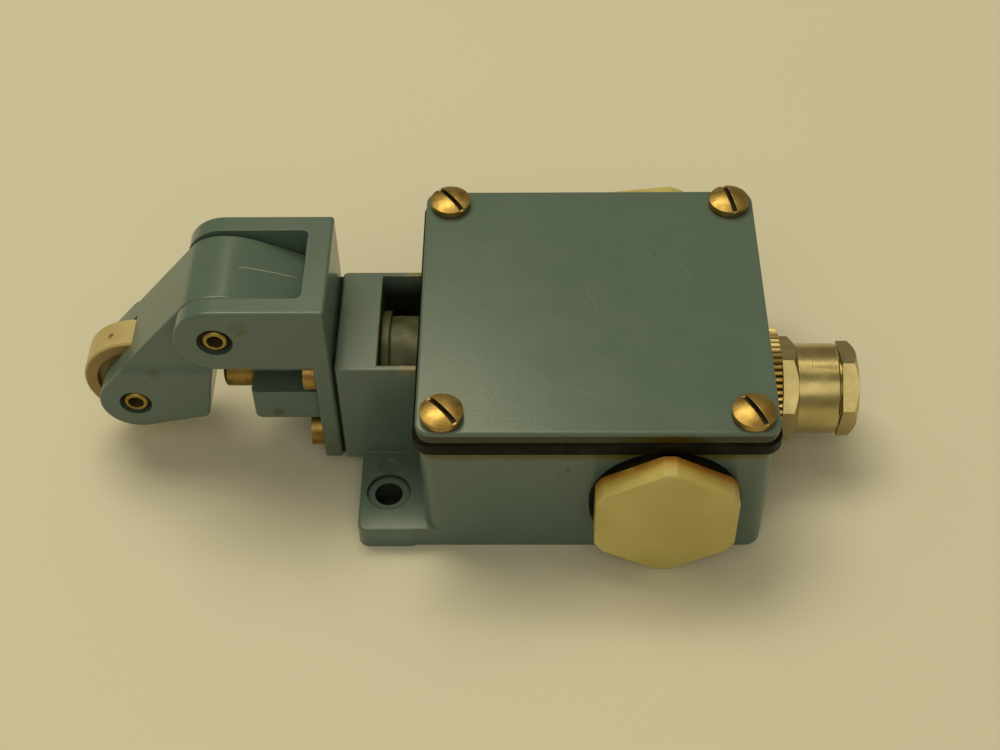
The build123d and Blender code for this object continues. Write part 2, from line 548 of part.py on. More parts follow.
def contact_block_lid():
    top = BLOCK_Z1 + LID_T
    lid = block(-BLOCK_X, BLOCK_X, -LID_Y, LID_Y, BLOCK_Z1, top)
    lid += block(-LID_TAB_X, LID_TAB_X, -LID_TAB_Y, LID_TAB_Y, BLOCK_Z1, top)
    for sy in (-1, 1):
        lid -= z_rod(1.6, 0, top + 1, 0, sy * BLOCK_SCREW_Y)
    return lid


def contact_block_screws():
    top = BLOCK_Z1 + LID_T
    screw = slotted_screw(2.75, 2.0, 1.5, top - 2.5, 0.8, 30)
    return group([Pos(0, sy * BLOCK_SCREW_Y, top) * screw for sy in (-1, 1)])


def fixed_contacts(wall_x, side):
    """Pair of L-shaped strips; side is -1 when the terminals lie towards -X."""
    strips = []
    for sy in (-1, 1):
        across = sorted((sy * STRIP_Y0, sy * STRIP_Y1))
        tab = block(*sorted((wall_x, wall_x + side * STRIP_T)), *across, STRIP_Z0, BLOCK_Z1 + STRIP_T)
        arm = block(*sorted((wall_x, side * STRIP_END_X)), *across, BLOCK_Z1, BLOCK_Z1 + STRIP_T)
        tip = x_rod(TIP_R, *sorted((wall_x, wall_x - side * TIP_T)), sy * TIP_Y, PLUNGER_Z)
        hole = z_rod(1.8, STRIP_Z0, BLOCK_Z1 + STRIP_T + 1, side * TERMINAL_X, sy * TERMINAL_Y)
        strips.append(tab + arm + tip - hole)
    return group(strips)


def contact_bridge(x, side):
    """Moving strip with its two tips on the given X side."""
    bridge = block(x, x + BRIDGE_T, -BRIDGE_Y, BRIDGE_Y, BRIDGE_Z0, BRIDGE_Z1)
    face = x if side < 0 else x + BRIDGE_T
    for sy in (-1, 1):
        bridge += x_rod(TIP_R, *sorted((face, face + side * TIP_T)), sy * TIP_Y, PLUNGER_Z)
    return bridge


def contact_carrier():
    """Slide with a slot for each bridge and its spring."""
    half = CHANNEL_Y - CHANNEL_FIT
    carrier = block(CARRIER_X0, CARRIER_X1, -half, half, CHANNEL_Z + CHANNEL_FIT, CARRIER_Z1)
    for x0, x1 in ((NC_BRIDGE_X - 0.1, RIB_X0), (RIB_X1, NO_BRIDGE_X + BRIDGE_T + 0.05)):
        carrier -= block(x0, x1, -BLOCK_Y, BLOCK_Y, BRIDGE_Z0 - 0.1, BRIDGE_Z1 + 0.1)
    return carrier


def contact_springs():
    closed = coil(0.25, 1.8, NC_BRIDGE_X + BRIDGE_T, RIB_X0, 4)
    opened = coil(0.25, 1.8, RIB_X1, NO_BRIDGE_X, 4)
    return group([closed, opened])


def terminal_clamps():
    clamps = []
    base_z = BLOCK_Z1 + STRIP_T
    for sx, sy in signs():
        x, y = sx * TERMINAL_X, sy * TERMINAL_Y
        clamp = block(x - CLAMP_HALF, x + CLAMP_HALF, y - CLAMP_HALF, y + CLAMP_HALF, base_z, base_z + CLAMP_T)
        clamps.append(clamp - z_rod(1.8, base_z - 1, base_z + CLAMP_T + 1, x, y))
    return group(clamps)


def terminal_screws():
    screw = slotted_screw(3.0, 2.2, 1.75, 9.5, 0.9, 15)
    z = BLOCK_Z1 + STRIP_T + CLAMP_T
    return group([Pos(sx * TERMINAL_X, sy * TERMINAL_Y, z) * screw for sx, sy in signs()])


def earth_clamp():
    top = EARTH_BOSS_Z + EARTH_CLAMP_T
    return z_rod(4.2, EARTH_BOSS_Z, top, EARTH_X, EARTH_Y) - z_rod(2.05, WALL, top + 1, EARTH_X, EARTH_Y)


def earth_screw():
    place = Pos(EARTH_X, EARTH_Y, EARTH_BOSS_Z + EARTH_CLAMP_T)
    return place * slotted_screw(3.6, 2.4, 2.0, 6.5, 1.0, 70)


NODES = {
    "body_casting": body_casting,
    "cover_gasket": cover_gasket,
    "cover_plate": cover_plate,
    "cover_screws": cover_screws,
    "front_blanking_plug": lambda: blanking_plug(-1, FRONT_PLUG_T, FRONT_PLUG_TURN),
    "front_plug_seal": lambda: plug_seal(-1),
    "rear_blanking_plug": lambda: blanking_plug(1, REAR_PLUG_T, REAR_PLUG_TURN),
    "rear_plug_seal": lambda: plug_seal(1),
    "reducer_seal": reducer_seal,
    "knurled_reducer": knurled_reducer,
    "gland_body": gland_body,
    "gland_seal": gland_seal,
    "gland_washer": gland_washer,
    "gland_nut": gland_nut,
    "head_casting": head_casting,
    "head_gasket": head_gasket,
    "head_screws": head_screws,
    "pivot_pin": lambda: hollow_pin(HEAD_Y - PIN_RECESS, PIVOT_X, PIVOT_Z),
    "lever_casting": lever_casting,
    "roller_pin": lambda: hollow_pin(CHEEK_Y - PIN_RECESS, ROLLER_X, ROLLER_Z),
    "roller": roller,
    "plunger": plunger,
    "plunger_stop_ring": plunger_stop_ring,
    "plunger_wiper": plunger_wiper,
    "plunger_seal": plunger_seal,
    "return_spring": return_spring,
    "guide_sleeve": guide_sleeve,
    "push_rod": push_rod,
    "contact_block_base": contact_block_base,
    "contact_block_lid": contact_block_lid,
    "contact_block_screws": contact_block_screws,
    "contact_carrier": contact_carrier,
    "closed_contact_bridge": lambda: contact_bridge(NC_BRIDGE_X, -1),
    "open_contact_bridge": lambda: contact_bridge(NO_BRIDGE_X, 1),
    "contact_springs": contact_springs,
    "closed_fixed_contacts": lambda: fixed_contacts(NC_FIXED_X, -1),
    "open_fixed_contacts": lambda: fixed_contacts(NO_FIXED_X, 1),
    "terminal_clamps": terminal_clamps,
    "terminal_screws": terminal_screws,
    "earth_clamp": earth_clamp,
    "earth_screw": earth_screw,
}

os.makedirs("parts", exist_ok=True)
for name, make in NODES.items():
    export_step(make(), f"parts/{name}.step")
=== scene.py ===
import json
import math

import bpy
from mathutils import Matrix, Vector


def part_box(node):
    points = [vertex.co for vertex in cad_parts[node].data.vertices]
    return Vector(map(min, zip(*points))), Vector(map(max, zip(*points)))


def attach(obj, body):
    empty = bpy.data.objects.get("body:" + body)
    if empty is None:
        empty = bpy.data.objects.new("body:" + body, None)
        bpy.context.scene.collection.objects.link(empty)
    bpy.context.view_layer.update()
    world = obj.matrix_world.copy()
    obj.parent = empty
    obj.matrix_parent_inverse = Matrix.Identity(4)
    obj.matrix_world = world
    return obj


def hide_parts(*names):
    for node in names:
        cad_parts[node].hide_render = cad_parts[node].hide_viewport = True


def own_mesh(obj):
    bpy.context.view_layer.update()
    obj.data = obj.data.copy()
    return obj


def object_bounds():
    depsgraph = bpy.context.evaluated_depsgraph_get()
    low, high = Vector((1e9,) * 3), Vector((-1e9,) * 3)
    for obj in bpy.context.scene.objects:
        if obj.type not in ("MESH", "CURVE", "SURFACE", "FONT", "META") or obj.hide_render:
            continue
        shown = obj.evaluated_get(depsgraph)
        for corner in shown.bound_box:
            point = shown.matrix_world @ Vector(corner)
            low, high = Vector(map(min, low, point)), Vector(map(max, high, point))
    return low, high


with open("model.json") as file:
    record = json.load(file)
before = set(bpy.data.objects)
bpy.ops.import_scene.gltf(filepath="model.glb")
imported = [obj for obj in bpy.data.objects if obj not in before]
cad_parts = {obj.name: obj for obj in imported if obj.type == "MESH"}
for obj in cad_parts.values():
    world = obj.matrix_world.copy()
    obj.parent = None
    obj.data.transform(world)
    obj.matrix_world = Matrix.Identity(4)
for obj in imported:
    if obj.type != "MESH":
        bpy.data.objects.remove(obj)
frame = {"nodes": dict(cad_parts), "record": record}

CAD_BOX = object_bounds()
MM = 0.001
JOINTS = {joint["name"]: joint for joint in frame["record"]["behaviour"]["joints"]}
FOOT_HOLES = next(mount for mount in frame["record"]["mounts"] if mount["name"] == "foot_holes")

# Sizes of the castings, screws and pins that the frame doesn't list, in metres
COVER_SCREW_HEAD_R = 0.0049
COVER_SCREW_SLOT_DEPTH = 0.00125
PIN_BORE_R = 0.0019
EAR_SINK_R, CHEEK_SINK_R = 0.0041, 0.00385
SPOT_FACE_R = 0.0052
WINDOW_HALF_Y, WINDOW_X0, WINDOW_X1, WINDOW_Z = 0.0145, -0.0506, -0.0397, 0.0366
BOX_END_X = -0.040


# Node helpers -----------------------------------------------------------------

class Look:
    """A procedural material: a Principled shader and short calls that add nodes to it."""

    def __init__(self, name, metallic=0.0, roughness=0.5, **inputs):
        self.material = bpy.data.materials.new(name)
        self.material.use_nodes = True
        self.tree = self.material.node_tree
        self.tree.nodes.clear()
        output = self.tree.nodes.new("ShaderNodeOutputMaterial")
        self.shader = self.tree.nodes.new("ShaderNodeBsdfPrincipled")
        self.tree.links.new(self.shader.outputs[0], output.inputs[0])
        self.shader.inputs["Metallic"].default_value = metallic
        self.shader.inputs["Roughness"].default_value = roughness
        for key, value in inputs.items():
            self.shader.inputs[key.replace("_", " ")].default_value = value
        self.place = self.add("ShaderNodeTexCoord").outputs["Object"]

    def add(self, kind, **settings):
        node = self.tree.nodes.new(kind)
        for key, value in settings.items():
            setattr(node, key, value)
        return node

    def link(self, source, target):
        """Feeds an input from a node output or a plain value."""
        if isinstance(source, bpy.types.NodeSocket):
            self.tree.links.new(source, target)
        else:
            target.default_value = source

    def math(self, operation, a, b=0.0):
        node = self.add("ShaderNodeMath", operation=operation)
        self.link(a, node.inputs[0])
        self.link(b, node.inputs[1])
        return node.outputs[0]

    def vector(self, operation, a, b=(0, 0, 0), output=0):
        node = self.add("ShaderNodeVectorMath", operation=operation)
        self.link(a, node.inputs[0])
        self.link(b, node.inputs[1])
        return node.outputs[output]

    def axis(self, index, source=None):
        """One coordinate of the row frame, in metres, or one part of another vector."""
        split = self.add("ShaderNodeSeparateXYZ")
        self.link(source or self.place, split.inputs[0])
        return split.outputs[index]

    def normal(self, index):
        """Size of one part of the surface's normal, 0 to 1."""
        geometry = self.add("ShaderNodeNewGeometry")
        return self.math("ABSOLUTE", self.axis(index, geometry.outputs["True Normal"]))

    def radius(self, *offsets):
        """Distance from a line parallel to an axis, from the two offsets across it."""
        squares = [self.math("MULTIPLY", offset, offset) for offset in offsets]
        return self.math("SQRT", self.math("ADD", *squares))

    def hinge_radius(self, joint):
        """Distance from the axis of a joint that turns about Y."""
        x, _, z = JOINTS[joint]["pos_m"]
        return self.radius(self.from_point(0, x), self.from_point(2, z))

    def from_point(self, index, value, mirrored=False):
        """Offset of one coordinate from a value in metres, folded over zero if mirrored."""
        coordinate = self.axis(index)
        if mirrored:
            coordinate = self.math("ABSOLUTE", coordinate)
        return self.math("SUBTRACT", coordinate, value)

    def bevel(self, radius):
        """The surface's normal with its corners rounded by a radius in metres."""
        node = self.add("ShaderNodeBevel", samples=6)
        node.inputs["Radius"].default_value = radius
        return node.outputs[0]

    def edges(self, width):
        """1 on outside and inside corners, 0 on open faces; width in metres."""
        flat = self.add("ShaderNodeNewGeometry").outputs["Normal"]
        bend = self.vector("DISTANCE", self.bevel(width), flat, output=1)
        return self.ramp(bend, 0.08, 0.45)

    def all_of(self, *masks):
        """Product of several masks or plain values."""
        total = masks[0]
        for mask in masks[1:]:
            total = self.math("MULTIPLY", total, mask)
        return total

    def ramp(self, value, low, high, out_low=0.0, out_high=1.0):
        """Smooth step of a value between two limits."""
        node = self.add("ShaderNodeMapRange", interpolation_type="SMOOTHSTEP")
        self.link(value, node.inputs["Value"])
        node.inputs["From Min"].default_value = low
        node.inputs["From Max"].default_value = high
        node.inputs["To Min"].default_value = out_low
        node.inputs["To Max"].default_value = out_high
        return node.outputs[0]

    def noise(self, scale, detail=3.0, stretch=(1, 1, 1), seed=0.0):
        """Fractal noise; scale is in features per metre, stretch squeezes it along an axis."""
        mapping = self.add("ShaderNodeMapping")
        self.link(self.place, mapping.inputs["Vector"])
        mapping.inputs["Location"].default_value = (seed, seed * 0.7, seed * 1.3)
        mapping.inputs["Scale"].default_value = stretch
        node = self.add("ShaderNodeTexNoise")
        self.link(mapping.outputs[0], node.inputs["Vector"])
        node.inputs["Scale"].default_value = scale
        node.inputs["Detail"].default_value = detail
        return node.outputs["Fac"]

    def spots(self, scale, size, seed=0.0):
        """Sparse round specks; size is the share of a cell that a speck covers."""
        mapping = self.add("ShaderNodeMapping")
        self.link(self.place, mapping.inputs["Vector"])
        mapping.inputs["Location"].default_value = (seed, seed, seed)
        node = self.add("ShaderNodeTexVoronoi")
        self.link(mapping.outputs[0], node.inputs["Vector"])
        node.inputs["Scale"].default_value = scale
        return self.ramp(node.outputs["Distance"], size, size * 0.4)

    def mix(self, amount, low, high):
        """Blend of two colours by a 0 to 1 amount."""
        node = self.add("ShaderNodeMix", data_type="RGBA")
        self.link(amount, node.inputs["Factor"])
        for source, target in ((low, node.inputs["A"]), (high, node.inputs["B"])):
            self.link(rgba(source) if isinstance(source, tuple) else source, target)
        return node.outputs["Result"]

    def blobs(self, *spots):
        """1 at each (centre, radius) spot's centre, falling to 0 at its radius, in millimetres."""
        masks = []
        for centre, radius in spots:
            distance = self.vector("DISTANCE", self.place, tuple(c * MM for c in centre), output=1)
            masks.append(self.ramp(distance, radius * MM, radius * MM * 0.3))
        return self.any_of(*masks)

    def scratch(self, start, end, width):
        """Thin straight line in the view from above, between two (x, y) points in millimetres."""
        first = Vector((*start, 0.0)) * MM
        run = Vector((*end, 0.0)) * MM - first
        flat = self.vector("MULTIPLY", self.place, (1, 1, 0))
        offset = self.vector("SUBTRACT", flat, tuple(first))
        direction = tuple(run / run.length)
        along = self.vector("DOT_PRODUCT", offset, direction, output=1)
        across = self.vector("LENGTH", self.vector("CROSS_PRODUCT", offset, direction), output=1)
        thin = self.ramp(across, width * MM, width * MM * 0.3)
        started = self.ramp(along, 0.0, run.length * 0.1)
        unfinished = self.ramp(along, run.length, run.length * 0.8)
        return self.all_of(thin, started, unfinished)

    def any_of(self, *masks):
        """Largest of several masks."""
        total = masks[0]
        for mask in masks[1:]:
            total = self.math("MAXIMUM", total, mask)
        return total

    def colour(self, source):
        self.link(rgba(source) if isinstance(source, tuple) else source, self.shader.inputs["Base Color"])

    def rough(self, source):
        self.link(source, self.shader.inputs["Roughness"])

    def bump(self, height, distance, strength=1.0, bevel=0.0):
        """Surface relief of the given depth in metres, over corners softened by the bevel radius."""
        node = self.add("ShaderNodeBump")
        self.link(height, node.inputs["Height"])
        if bevel:
            self.link(self.bevel(bevel), node.inputs["Normal"])
        node.inputs["Distance"].default_value = distance
        node.inputs["Strength"].default_value = strength
        self.link(node.outputs[0], self.shader.inputs["Normal"])

    def orange_peel(self):
        """Fine relief of a stoved enamel, with corners rounded enough to catch the light."""
        swell = self.all_of(self.noise(240.0, 1.0), 0.4)
        self.bump(self.math("ADD", self.noise(1300.0, 1.0), swell), 0.00004, 0.3, bevel=0.0003)


def rgba(colour):
    return (*colour, 1.0)


# Enamel -------------------------------------------------------------------------

ENAMEL = (0.113, 0.170, 0.148)
ENAMEL_DARK = (0.108, 0.163, 0.141)
ENAMEL_LIGHT = (0.185, 0.255, 0.225)
# Light paint on corners: partly rubbed paint, partly a painted highlight along the edges
EDGE_WEAR_AND_HIGHLIGHT = (0.27, 0.33, 0.27)
SCRATCH_PAINT = (0.46, 0.45, 0.34)
HAIRLINE_PAINT = (0.30, 0.33, 0.28)
GREASE = (0.095, 0.084, 0.008)
GRIME = (0.06, 0.05, 0.015)
# Near-black used for painted shade in recesses, holes and the neck's window
SHADE_BLACK = (0.008, 0.009, 0.005)
RUST = (0.36, 0.20, 0.010)
BROWN_SPOT = (0.16, 0.12, 0.05)
BARE_PLATE = (0.030, 0.027, 0.002)
EDGE_WIDTH = 0.00035

# Stains as (centre, radius), in millimetres
WINDOW_CORNER_STAINS = ((-42.9, -15.2, 37.0), 3.0), ((-42.9, 15.2, 37.0), 2.6)
NEAR_WALL_SMEARS = ((-8.5, -39.0, 27.2), 1.4), ((-6.3, -39.0, 29.0), 1.0)
HEAD_OIL_SPOTS = ((-80.2, -15.9, 51.2), 3.4), ((-75.5, -13.0, 18.6), 2.0)
WEB_SPOT = (-64.4, 3.0, 56.0), 1.6
LEVER_OIL_SPOT = (-104.0, -11.3, 30.5), 2.6
ROLLER_SPOT = (-115.6, -0.5, 31.8), 1.2

# Scratches between two (x, y) points, in millimetres
TAIL_SCRATCH = (-82.4, 0.1), (-68.2, 2.1)
TAIL_SCRATCH_WIDTH, HAIRLINE_WIDTH = 0.14, 0.09
COVER_HAIRLINES = (((-6, -2), (3, 4)), ((8, -6), (13, -17)), ((-12, -24), (3, -29)), ((-2, 8), (1.5, -4)),
                   ((-27, 20), (-21, 17)), ((20, 16), (24, 8)), ((-30, -12), (-26, -21)))


def enamel_tones(look, tone_scale):
    """Two close tones of paint with a fine light fleck."""
    tone = look.mix(look.ramp(look.noise(tone_scale, 4.0), 0.3, 0.7), ENAMEL_DARK, ENAMEL)
    fleck = look.ramp(look.noise(1100.0, 2.0), 0.35, 0.8, 0.0, 0.07)
    return look.mix(fleck, tone, ENAMEL_LIGHT)


def rubbed_and_highlit_edges(look, scale, high, share):
    """Corners lightened in patches, partly where the paint is rubbed thin and partly as a painted
    highlight.
    """
    patches = look.ramp(look.noise(scale, 4.0, seed=7.0), 0.3, high)
    return look.all_of(look.edges(EDGE_WIDTH), patches, share)


def enamel(name, stains, dark=lambda look: 0.0, marks=()):
    """Blue-grey stove enamel: orange peel, faint mottling, specks, stains, edges lightened partly as worn
    paint and partly as a painted highlight, and painted shade where the dark mask is given.
    """
    look = Look(name, roughness=0.2)
    # Corners lightened partly as rubbed paint, partly as a painted highlight
    colour = look.mix(rubbed_and_highlit_edges(look, 260.0, 0.62, 0.5), enamel_tones(look, 60.0), EDGE_WEAR_AND_HIGHLIGHT)
    speck = look.all_of(look.spots(140.0, 0.10), look.ramp(look.noise(30.0, seed=9.0), 0.5, 0.68), 0.75)
    colour = look.mix(speck, colour, (0.07, 0.05, 0.012))
    for stain, mask in stains(look):
        broken = look.ramp(look.noise(240.0, 5.0, seed=3.0), 0.28, 0.62)
        colour = look.mix(look.all_of(mask, broken), colour, stain)
    for mark, mask in marks:
        colour = look.mix(mask(look), colour, mark)
    # Painted shade from the part's dark mask: near-black and rougher
    painted_shade = dark(look)
    look.colour(look.mix(painted_shade, colour, SHADE_BLACK))
    gloss = look.ramp(look.noise(120.0, 3.0, seed=5.0), 0.3, 0.7, 0.18, 0.22)
    look.rough(look.any_of(gloss, look.math("MULTIPLY", painted_shade, 0.7)))
    look.orange_peel()
    return look.material


def low_oil(look, clear_z, full_z, share):
    """Oil film that thickens downwards between two heights in metres."""
    return GREASE, look.all_of(look.ramp(look.axis(2), clear_z, full_z), share)


def plain_stains(look):
    return [low_oil(look, 0.012, 0.004, 0.4)]


def head_stains(look):
    """Oil spots on the near ear and the boss, a faint spot on the web and oil low down."""
    return [(GREASE, look.all_of(look.blobs(*HEAD_OIL_SPOTS), 0.8)),
            low_oil(look, 0.020, 0.008, 0.5),
            (BROWN_SPOT, look.all_of(look.blobs(WEB_SPOT), 0.35))]


def lever_stains(look):
    """Oil round the roller end and a spot on the near cheek."""
    return [low_oil(look, 0.0155, 0.011, 0.5),
            (GREASE, look.all_of(look.blobs(LEVER_OIL_SPOT), 0.5))]


def body_stains(look):
    """Oil along the window's edges, rust-coloured corners and a smear on the near wall."""
    window = look.all_of(look.edges(0.0007),
                         look.ramp(look.axis(2), WINDOW_Z - 0.0031, WINDOW_Z - 0.0004),
                         look.ramp(look.axis(0), WINDOW_X0 - 0.0039, WINDOW_X0 - 0.0009))
    return [(GREASE, window),
            (RUST, look.all_of(look.blobs(*WINDOW_CORNER_STAINS), 1.4)),
            (GRIME, look.all_of(look.blobs(*NEAR_WALL_SMEARS), 0.8))]


def seam_oil(look):
    """Unbroken band of oil on the box's walls, just under the cover gasket."""
    height = look.math("ADD", look.axis(2), look.all_of(look.noise(160.0), 0.0012))
    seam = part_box("cover_gasket")[0].z
    band = look.ramp(height, seam - 0.0022, seam - 0.0002)
    return look.all_of(band, look.ramp(look.axis(0), BOX_END_X - 0.0005, BOX_END_X + 0.0005), 0.9)


def tail_scratch(look):
    return look.scratch(*TAIL_SCRATCH, TAIL_SCRATCH_WIDTH)


def sink_shade(look, joint, sink_r):
    """Painted shade on the floor of a counterbore round a pin."""
    return look.ramp(look.hinge_radius(joint), sink_r + 0.00012, sink_r - 0.0001)


def head_dark(look):
    return sink_shade(look, "lever_pivot", EAR_SINK_R)


def lever_dark(look):
    return sink_shade(look, "roller_spin", CHEEK_SINK_R)


def foot_hole_radius(look):
    """Distance from the nearer foot hole's axis, and the hole's radius."""
    half_spacing = FOOT_HOLES["dims"]["spacing_y_mm"] * MM / 2
    offset_x = look.from_point(0, FOOT_HOLES["pos_m"][0])
    offset_y = look.from_point(1, half_spacing, mirrored=True)
    return look.radius(offset_x, offset_y), FOOT_HOLES["dims"]["hole_r_mm"] * MM


def body_dark(look):
    """Painted shade inside the neck's window, in the foot's screw holes and in a ring round their spot
    faces.
    """
    x, z = look.axis(0), look.axis(2)
    across = look.math("ABSOLUTE", look.axis(1))
    between_walls = look.ramp(across, WINDOW_HALF_Y + 0.00012, WINDOW_HALF_Y + 0.00002)
    beyond_front = look.ramp(x, WINDOW_X0 - 0.0001, WINDOW_X0 + 0.0001)
    before_box = look.ramp(x, WINDOW_X1 + 0.0005, WINDOW_X1 - 0.0005)
    window = look.all_of(between_walls, beyond_front, before_box, look.ramp(z, WINDOW_Z, WINDOW_Z - 0.0066))
    radius, hole_r = foot_hole_radius(look)
    bore = look.ramp(radius, hole_r + 0.0002, hole_r - 0.0001)
    rim = look.all_of(look.ramp(radius, SPOT_FACE_R + 0.00025, SPOT_FACE_R),
                      look.ramp(radius, SPOT_FACE_R - 0.0006, SPOT_FACE_R - 0.0001), 0.75)
    return look.any_of(window, bore, rim)


def cover_look():
    """Painted top with hairline scratches, edges lightened partly as rubbed paint and partly as a painted
    highlight, and olive plated sides.
    """
    look = Look("cover_enamel_look", roughness=0.19)
    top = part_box("cover_plate")[1].z
    speck = look.all_of(look.spots(95.0, 0.09, 4.0), look.ramp(look.noise(40.0, seed=2.0), 0.48, 0.6), 0.8)
    colour = look.mix(speck, enamel_tones(look, 45.0), (0.09, 0.055, 0.015))
    hairlines = look.any_of(*[look.scratch(*ends, HAIRLINE_WIDTH) for ends in COVER_HAIRLINES])
    colour = look.mix(look.all_of(hairlines, look.normal(2), 0.40), colour, HAIRLINE_PAINT)
    # Corners lightened partly as rubbed paint, partly as a painted highlight
    colour = look.mix(rubbed_and_highlit_edges(look, 200.0, 0.6, 0.6), colour, EDGE_WEAR_AND_HIGHLIGHT)
    ragged = look.math("ADD", look.axis(2), look.all_of(look.noise(250.0), 0.0005))
    painted = look.ramp(ragged, top - 0.0010, top - 0.0006)
    plate = look.mix(look.noise(220.0, 4.0), tuple(c * 0.45 for c in BARE_PLATE), BARE_PLATE)
    look.colour(look.mix(painted, plate, colour))
    look.rough(look.ramp(look.noise(110.0, 3.0, seed=5.0), 0.3, 0.7, 0.17, 0.21))
    look.orange_peel()
    return look.material


# Other materials ----------------------------------------------------------------

def sleeve_look():
    """Dull, oily olive tube in the neck's window."""
    look = Look("sleeve_look", roughness=0.45)
    patches = look.ramp(look.noise(170.0, 4.0), 0.35, 0.7)
    look.colour(look.mix(patches, (0.050, 0.052, 0.016), (0.095, 0.105, 0.042)))
    look.rough(look.ramp(look.noise(300.0, 3.0, seed=4.0), 0.3, 0.7, 0.40, 0.56))
    look.bump(look.noise(900.0, 2.0), 0.00005, 0.5)
    return look.material


def rubber():
    """Near-black oily rubber with a brown bloom in patches."""
    look = Look("black_rubber_look", roughness=0.5, Specular_IOR_Level=0.15)
    bloom = look.ramp(look.noise(160.0, 4.0), 0.45, 0.8)
    look.colour(look.mix(bloom, (0.003, 0.0028, 0.0015), (0.012, 0.009, 0.0025)))
    look.rough(look.ramp(look.noise(200.0), 0.3, 0.7, 0.38, 0.66))
    look.bump(look.math("ADD", look.noise(1500.0, 3.0), look.noise(150.0, 2.0)), 0.00012, 0.6)
    return look.material


def brass(name, bright, dark, recess_shade=lambda look: 0.0):
    """Aged brass: patina patches, fine tool marks, a few pits and painted shade in the recesses."""
    look = Look(name, metallic=1.0, roughness=0.34)
    patina = look.mix(look.ramp(look.noise(240.0, 3.0), 0.30, 0.62), dark, bright)
    worn = look.mix(look.all_of(look.edges(0.0003), 0.6), patina, tuple(min(1.0, c * 1.25) for c in bright))
    pitted = look.mix(look.all_of(look.spots(420.0, 0.10), 0.5), worn, (0.10, 0.055, 0.012))
    shading = recess_shade(look)
    # Painted shade in recesses: near-black brown, less metallic and rougher
    look.colour(look.mix(shading, pitted, (0.022, 0.014, 0.003)))
    look.link(look.ramp(shading, 0.0, 1.0, 1.0, 0.2), look.shader.inputs["Metallic"])
    sheen = look.ramp(look.noise(400.0, 3.0, seed=1.0), 0.3, 0.75, 0.32, 0.50)
    look.rough(look.any_of(sheen, look.math("MULTIPLY", shading, 0.8)))
    strokes = look.noise(420.0, 2.0, stretch=(1, 5, 1), seed=2.0)
    look.bump(look.math("ADD", look.noise(1200.0, 1.0), strokes), 0.00006, 0.4, bevel=0.0002)
    return look.material


def screw_shade(look):
    """Painted shade in the slots, told from the cover screws' domes by depth and slope, and a painted
    shadow round the foot of the heads.
    """
    low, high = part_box("cover_screws")
    centre_x = (high.x - low.x) / 2 - COVER_SCREW_HEAD_R
    centre_y = (high.y - low.y) / 2 - COVER_SCREW_HEAD_R
    offset_x = look.from_point(0, centre_x, mirrored=True)
    offset_y = look.from_point(1, centre_y, mirrored=True)
    radius = look.radius(offset_x, offset_y)
    inside = look.ramp(radius, COVER_SCREW_HEAD_R - 0.0003, COVER_SCREW_HEAD_R - 0.0007)
    bottom = high.z - COVER_SCREW_SLOT_DEPTH
    slot_floor = look.ramp(look.axis(2), bottom + 0.00005, bottom - 0.00005)
    slot = look.all_of(inside, look.any_of(slot_floor, look.ramp(look.normal(2), 0.5, 0.3)))
    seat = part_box("cover_plate")[1].z
    # Painted shadow round the foot of each head, just above the cover
    return look.any_of(slot, look.all_of(look.ramp(look.axis(2), seat + 0.0009, seat + 0.0002), 0.75))


def pin_bore_shade(look):
    """Painted shade in the hollow ends of the two pins."""
    # Painted shade inside the pins' bores
    bores = [look.ramp(look.hinge_radius(joint), PIN_BORE_R + 0.0001, PIN_BORE_R - 0.0001)
             for joint in ("lever_pivot", "roller_spin")]
    return look.any_of(*bores)


def nickel():
    """Satin nickel plate with turning lines, and a brassy knurled ring with painted shade in the gaps
    between its teeth.
    """
    look = Look("nickel_look", metallic=1.0, roughness=0.3)
    low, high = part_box("gland_nut")
    centre_y, centre_z = (low.y + high.y) / 2, (low.z + high.z) / 2
    plate = look.mix(look.ramp(look.noise(130.0, 3.0), 0.35, 0.75), (0.49, 0.40, 0.19), (0.58, 0.485, 0.24))
    ring_low, ring_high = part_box("knurled_reducer")
    radius = look.radius(look.from_point(1, centre_y), look.from_point(2, centre_z))
    ring_r = (ring_high.z - ring_low.z) / 2
    on_ring = look.ramp(look.axis(0), ring_high.x + 0.0001, ring_high.x - 0.0001)
    on_teeth = look.ramp(radius, ring_r - 0.0007, ring_r - 0.0001)
    # Brass on the teeth, painted shade in the gaps between them
    teeth_and_gap_shade = look.mix(on_teeth, (0.12, 0.085, 0.02), (0.80, 0.62, 0.28))
    look.colour(look.mix(on_ring, plate, teeth_and_gap_shade))
    look.rough(look.ramp(look.noise(300.0, 3.0, seed=1.0), 0.3, 0.75, 0.25, 0.34))
    look.bump(look.noise(60.0, 3.0, stretch=(60, 1, 1)), 0.00004, 0.4)
    return look.material


def cream_moulding(name):
    """Starts the look of an aged cream moulding that lets a little light in."""
    look = Look(name, roughness=0.42, Subsurface_Weight=0.05)
    look.shader.inputs["Subsurface Radius"].default_value = (0.003, 0.002, 0.0008)
    return look


